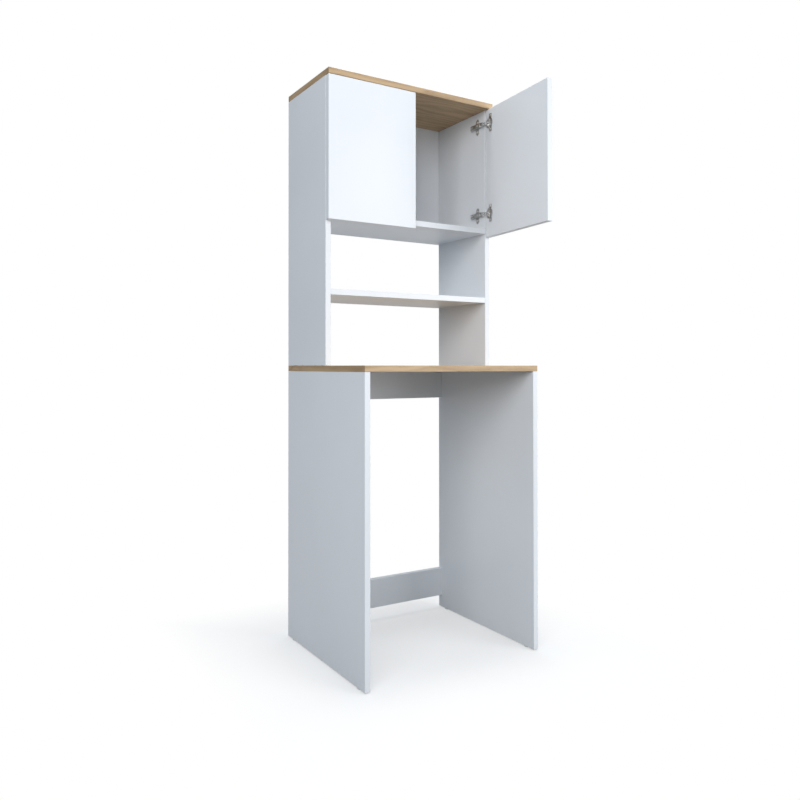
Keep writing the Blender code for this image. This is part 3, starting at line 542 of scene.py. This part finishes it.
def side_screw_rows(side):
    """Places and directions of the screws in a side's mounting plates and arms."""
    rows = []
    inward = Vector((-OUTWARD[side], 0, 0))
    up = Vector((0, 0, 1))
    for level, height in hinge_heights(side).items():
        low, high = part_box(f"{side}_{level}_fixing_screw")
        head = low.x if side == "right" else high.x
        rows.append(("arm", Vector((head, (low.y + high.y) / 2, height)), inward, up))
        place = Vector((head, SIDE_SCREW_PLACE, height))
        rows.append(("arm", place, inward, (up + Vector((0, 1, 0))).normalized()))
        face = HALF_WIDTH - BOARD - SEAM - PLATE_THICKNESS - SEAM - PLATE_SCREW_HEAD
        for way in (-1, 1):
            height_here = height + way * PLATE_SCREW_SPREAD
            place = Vector((OUTWARD[side] * face, PLATE_SCREW_PLACE, height_here))
            rows.append(("plate", place, inward, (up + Vector((0, way * 0.4, 0))).normalized()))
    return rows


def cup_screw_rows(side):
    """Places and directions of the screws in a side's cups, with the right door open as it rests."""
    rows = []
    across = OUTWARD[side] * (HALF_WIDTH - CUP_SCREW_FROM_SIDE)
    for level, height in hinge_heights(side).items():
        for way in (-1, 1):
            place = Vector((across, CUP_SCREW_PLACE, height + way * CUP_SCREW_SPREAD))
            aim, side_way = Vector((0, 1, 0)), Vector((0.5, 0, 1)).normalized()
            if side == "right":
                place, aim, side_way = on_right_door(place), OPENED @ aim, OPENED @ side_way
            rows.append((place, aim, side_way))
    return rows


def screw_recipe(name, base, top, material):
    """A head's cap with a cross recess through it."""
    values = {
        "Base radius": base,
        "Top radius": top,
        "Cap height": CAP_HEIGHT,
        "Recess length": base * 1.15,
        "Recess width": base * 0.26,
        "Material": material,
    }
    recipe = Recipe(name, values)
    height = recipe.given("Cap height")
    inputs = {
        "Vertices": CAP_SIDES,
        "Radius Bottom": recipe.given("Base radius"),
        "Radius Top": recipe.given("Top radius"),
        "Depth": height,
    }
    cap = recipe.node("GeometryNodeMeshCone", {}, inputs, "Mesh")
    recipe.scatter(recipe.cut(cap, recipe.cross(height, height * 3)))
    return recipe


def cam_recipe(name, material):
    """A cam lock: a drum with a cross recess in its face and a slot for the bolt's head."""
    recipe = Recipe(name, {**CAM_SIZES, "Material": material})
    radius, height = recipe.given("Radius"), recipe.given("Height")
    inputs = {"Vertices": CAM_SIDES, "Radius": radius, "Depth": height}
    drum = recipe.node("GeometryNodeMeshCylinder", {}, inputs, "Mesh")
    slot = recipe.given("Slot width")
    bars = recipe.cross(height, recipe.given("Recess depth") * 2)
    bars.append(recipe.cube((radius * 2 + slot, slot, slot), (radius, 0.0, slot * -0.3)))
    recipe.scatter(recipe.cut(drum, bars))
    return recipe


class CabinetLooks(bpy.types.PropertyGroup):
    """Colours and light levels of the cabinet."""

    white: FloatVectorProperty(
        name="White",
        description="Melamine of the boards and doors",
        subtype="COLOR",
        default=(0.835, 0.85, 0.87),
    )
    oak_light: FloatVectorProperty(
        name="Light oak",
        description="Early wood of the oak decor",
        subtype="COLOR",
        default=(0.58, 0.40, 0.225),
    )
    oak_dark: FloatVectorProperty(
        name="Dark oak",
        description="Late wood of the oak decor",
        subtype="COLOR",
        default=(0.30, 0.185, 0.092),
    )
    back: FloatVectorProperty(
        name="Back",
        description="Painted face of the back panel",
        subtype="COLOR",
        default=(0.92, 0.93, 0.95),
    )
    nickel: FloatVectorProperty(
        name="Nickel",
        description="Plating of the hinges and screws",
        subtype="COLOR",
        default=(0.70, 0.69, 0.67),
    )
    link: FloatVectorProperty(
        name="Links",
        description="Bright steel of the hinge links",
        subtype="COLOR",
        default=(0.78, 0.77, 0.76),
    )
    zinc: FloatVectorProperty(
        name="Zinc",
        description="Die-cast zinc of the cam locks",
        subtype="COLOR",
        default=(0.55, 0.55, 0.56),
    )
    plastic: FloatVectorProperty(
        name="Plastic",
        description="Plastic of the floor glides",
        subtype="COLOR",
        default=(0.78, 0.78, 0.77),
    )
    sky: FloatProperty(
        name="Sky",
        description="Strength of the even light from all round",
        default=0.37,
        min=0.0,
    )
    key: FloatProperty(
        name="Key",
        description="Power of the soft key lamp",
        default=97.0,
        min=0.0,
        unit="POWER",
    )
    side: FloatProperty(
        name="Side",
        description="Power of the lamp on the right",
        default=87.0,
        min=0.0,
        unit="POWER",
    )
    fill: FloatProperty(
        name="Fill",
        description="Power of the lamp behind",
        default=18.0,
        min=0.0,
        unit="POWER",
    )
    top: FloatProperty(
        name="Top",
        description="Power of the lamp above",
        default=90.0,
        min=0.0,
        unit="POWER",
    )
    key_size: FloatProperty(
        name="Key size",
        description="Width of the key, side and fill lamps",
        default=2.4,
        min=0.1,
        unit="LENGTH",
    )
    room: FloatProperty(
        name="Floor size",
        description="Width of the pale floor",
        default=60.0,
        min=2.0,
        unit="LENGTH",
    )


class CABINET_OT_white_boards(bpy.types.Operator):
    """Finish the white boards, with the glue line of each board's front banding."""

    bl_idname = "cabinet.white_boards"
    bl_label = "White boards"

    def execute(self, context):
        looks = context.scene.cabinet_looks
        for name in WHITE_BOARDS:
            lines = [] if name.endswith("rail") else board_lines(name)
            dress([name], melamine(f"white melamine {name}", tuple(looks.white), lines))
        return {"FINISHED"}


class CABINET_OT_doors(bpy.types.Operator):
    """Finish both doors, with glue lines round all four edges."""

    bl_idname = "cabinet.doors"
    bl_label = "Doors"

    def execute(self, context):
        looks = context.scene.cabinet_looks
        lines = door_lines()
        for side in SIDES:
            own = lines if side == "left" else [(axis, -at if axis == 0 else at) for axis, at in lines]
            name = f"white melamine {side} door"
            dress([f"{side}_door"], melamine(name, tuple(looks.white), own, side))
        return {"FINISHED"}


class CABINET_OT_oak_boards(bpy.types.Operator):
    """Finish the worktop and the top panel in oak decor."""

    bl_idname = "cabinet.oak_boards"
    bl_label = "Oak boards"

    def execute(self, context):
        looks = context.scene.cabinet_looks
        light, dark = tuple(looks.oak_light), tuple(looks.oak_dark)
        for name in OAK_BOARDS:
            dress([name], oak(f"oak decor {name}", light, dark, board_lines(name)))
        return {"FINISHED"}


class CABINET_OT_back_panel(bpy.types.Operator):
    """Finish the back panel: white in front, raw hardboard and nail heads behind."""

    bl_idname = "cabinet.back_panel"
    bl_label = "Back panel"

    def execute(self, context):
        colour = tuple(context.scene.cabinet_looks.back)
        dress(["cupboard_back"], fibreboard("painted hardboard", colour))
        return {"FINISHED"}


class CABINET_OT_hinges(bpy.types.Operator):
    """Replace the hinges' plates, arms, cups and links by copies with rounded arrises."""

    bl_idname = "cabinet.hinges"
    bl_label = "Hinges"

    def execute(self, context):
        looks = context.scene.cabinet_looks
        nickel = plated("nickel plate", tuple(looks.nickel), 0.34, 420, 0.00003)
        bright = plated("bright steel", tuple(looks.link), 0.24, 600, 0.00002)
        kinds = {"hinge_plate": nickel, "hinge_arm": nickel, "hinge_cup": nickel}
        kinds.update({"outer_link": bright, "inner_link": bright})
        for side in SIDES:
            for level in LEVELS:
                dress([f"{side}_{level}_fixing_screw"], nickel)
                for kind, material in kinds.items():
                    node = f"{side}_{level}_{kind}"
                    body = NODES[node]["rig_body"]
                    piece = add_piece(f"{node}_pressing", pressed_mesh(node, material), body)
                    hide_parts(node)
        return {"FINISHED"}


class CABINET_OT_screw_heads(bpy.types.Operator):
    """Put a cap with a cross recess on each visible screw."""

    bl_idname = "cabinet.screw_heads"
    bl_label = "Screw heads"

    def execute(self, context):
        looks = context.scene.cabinet_looks
        steel = plated("screw steel", tuple(value * 1.1 for value in looks.nickel), 0.30, 900, 0.00002)
        heads = {"plate": PLATE_HEAD, "arm": ARM_HEAD}
        for side in SIDES:
            rows = side_screw_rows(side)
            for kind, (base, top) in heads.items():
                recipe = screw_recipe(f"{kind} screw caps", base, top, steel)
                own = [row[1:] for row in rows if row[0] == kind]
                places = [(place - aim * CAP_SINK, aim, way) for place, aim, way in own]
                name = f"{side}_{kind}_screw_caps"
                add_piece(name, recipe.make(name, places), "root")
            recipe = screw_recipe("cup screw caps", *CUP_HEAD, steel)
            name = f"{side}_cup_screw_caps"
            rows = [(place - aim * CAP_SINK, aim, way) for place, aim, way in cup_screw_rows(side)]
            add_piece(name, recipe.make(name, rows), f"{side}_door_leaf")
        return {"FINISHED"}


class CABINET_OT_cam_locks(bpy.types.Operator):
    """Make the cam locks with their cross recesses, and finish their bolts."""

    bl_idname = "cabinet.cam_locks"
    bl_label = "Cam locks"

    def execute(self, context):
        looks = context.scene.cabinet_looks
        zinc = plated("cast zinc", tuple(looks.zinc), 0.46, 700, 0.00005)
        rows, nodes = [], []
        for board in CAM_BOARDS:
            for side in SIDES:
                node = f"{board}_{side}_cam"
                low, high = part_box(node)
                aim = Vector((0, 1, 0)) if board.endswith("rail") else Vector((0, 0, 1))
                rows.append(((low + high) / 2, aim, Vector((OUTWARD[side], 0, 0))))
                nodes.append(node)
                dress([f"{node}_bolt"], zinc)
        recipe = cam_recipe("cam locks", zinc)
        piece = add_piece("cam_locks", recipe.make("cam_locks", rows), "root")
        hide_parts(*nodes)
        return {"FINISHED"}


class CABINET_OT_floor_glides(bpy.types.Operator):
    """Finish the floor glides."""

    bl_idname = "cabinet.floor_glides"
    bl_label = "Floor glides"

    def execute(self, context):
        glides = [f"floor_glide_{side}_{end}" for side in SIDES for end in ("front", "rear")]
        dress(glides, moulded("glide plastic", tuple(context.scene.cabinet_looks.plastic)))
        return {"FINISHED"}


def pale_floor(size):
    """A floor that is white to the camera and to reflections, and keeps the cabinet's shadow.

    Only the camera and reflections see that white. All other light meets a duller floor.
    """
    mesh = bpy.data.meshes.new("floor")
    half = size / 2
    corners = [(-half, -half, 0), (half, -half, 0), (half, half, 0), (-half, half, 0)]
    mesh.from_pydata(corners, [], [(0, 1, 2, 3)])
    floor = bpy.data.objects.new("floor", mesh)
    bpy.context.scene.collection.objects.link(floor)
    finish = Finish("pale floor")
    finish.set("Roughness", 0.9)
    finish.set("Base Color", FLOOR_BOUNCE)
    finish.set("Specular IOR Level", 0.0)
    seen = finish.node("ShaderNodeLightPath", output="Is Camera Ray")
    share = seen.math("MAXIMUM", seen, seen.other("Is Glossy Ray"))
    low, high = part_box("base_side_left")
    x, y, _ = finish.axes(finish.place)
    depths = abs(y - (low.y + high.y) / 2) - (high.y - low.y) / 2
    outside = x.math("MAXIMUM", abs(x) - HALF_WIDTH, depths)
    far = outside.above(SHADOW_START, SHADOW_END)
    inputs = {"Color": WHITE, "Strength": 0.9 + far * 0.1}
    white = finish.node("ShaderNodeEmission", {}, inputs)
    pale = finish.node("ShaderNodeBsdfDiffuse", {}, {"Color": FLOOR_SHOWN})
    shown = finish.node("ShaderNodeMixShader", {}, {0: 0.5 + far * 0.5, 1: pale, 2: white})
    plain = Signal(finish, finish.shader.outputs["BSDF"])
    mixed = finish.node("ShaderNodeMixShader", {}, {0: share, 1: plain, 2: shown})
    finish.tree.links.new(mixed.socket, finish.tree.nodes["Material Output"].inputs["Surface"])
    mesh.materials.append(finish.material)


def white_world(strength):
    """A white room to the camera and through clear pieces, and an even cool light to the rest."""
    world = bpy.data.worlds.new("white room")
    bpy.context.scene.world = world
    world.use_nodes = True
    maker = NodeMaker()
    maker.tree = world.node_tree
    seen = maker.node("ShaderNodeLightPath", output="Is Camera Ray")
    share = seen.math("MAXIMUM", seen, seen.other("Is Transmission Ray"))
    level = strength + share * (1.0 - strength)
    inputs = {0: share, 6: SKY_COLOUR, 7: WHITE}
    cool = maker.node("ShaderNodeMix", {"data_type": "RGBA"}, inputs, 2)
    background = world.node_tree.nodes["Background"]
    maker.feed(background.inputs["Color"], cool)
    maker.feed(background.inputs["Strength"], level)


def soft_lamp(name, power, size, place):
    """A square lamp that faces the middle of the cabinet."""
    lamp = bpy.data.lights.new(name, "AREA")
    lamp.energy = power
    lamp.size = size
    lamp.color = LAMP_COLOUR
    holder = bpy.data.objects.new(name, lamp)
    holder.location = place
    away = holder.location - Vector((0, 0, HALF_HEIGHT))
    holder.rotation_euler = away.to_track_quat("Z", "Y").to_euler()
    bpy.context.scene.collection.objects.link(holder)


class CABINET_OT_stage(bpy.types.Operator):
    """Make the pale floor, the white room, the lamps and the camera."""

    bl_idname = "cabinet.stage"
    bl_label = "Stage"

    def execute(self, context):
        looks = context.scene.cabinet_looks
        pale_floor(looks.room)
        white_world(looks.sky)
        soft_lamp("key", looks.key, looks.key_size, KEY_PLACE)
        soft_lamp("side", looks.side, looks.key_size, SIDE_PLACE)
        soft_lamp("fill", looks.fill, looks.key_size, FILL_PLACE)
        soft_lamp("top", looks.top, looks.key_size / 2, TOP_PLACE)
        view = bpy.data.cameras.new("camera")
        view.lens = CAMERA_LENS
        view.sensor_width = CAMERA_SENSOR
        view.shift_x, view.shift_y = CAMERA_SHIFT
        view.clip_end = CAMERA_REACH
        camera = bpy.data.objects.new("camera", view)
        camera.location = CAMERA_PLACE
        camera.rotation_euler = [math.radians(angle) for angle in CAMERA_ANGLES]
        context.scene.collection.objects.link(camera)
        context.scene.camera = camera
        context.scene.view_settings.view_transform = "Standard"
        return {"FINISHED"}


STEPS = (
    CABINET_OT_white_boards,
    CABINET_OT_doors,
    CABINET_OT_oak_boards,
    CABINET_OT_back_panel,
    CABINET_OT_hinges,
    CABINET_OT_screw_heads,
    CABINET_OT_cam_locks,
    CABINET_OT_floor_glides,
    CABINET_OT_stage,
)


class CABINET_PT_looks(bpy.types.Panel):
    """The cabinet's steps and values, in the sidebar."""

    bl_label = "Cabinet"
    bl_idname = "CABINET_PT_looks"
    bl_space_type = "VIEW_3D"
    bl_region_type = "UI"
    bl_category = "Cabinet"

    def draw(self, context):
        looks = context.scene.cabinet_looks
        for name in CabinetLooks.__annotations__:
            self.layout.prop(looks, name)
        for step in STEPS:
            self.layout.operator(step.bl_idname)


CLASSES = (CabinetLooks, *STEPS, CABINET_PT_looks)


def register():
    for made in CLASSES:
        bpy.utils.register_class(made)
    bpy.types.Scene.cabinet_looks = PointerProperty(type=CabinetLooks)


def unregister():
    del bpy.types.Scene.cabinet_looks
    for made in reversed(CLASSES):
        bpy.utils.unregister_class(made)


def main():
    register()
    for step in STEPS:
        group, call = step.bl_idname.split(".")
        getattr(getattr(bpy.ops, group), call)()


if __name__ == "__main__":
    main()
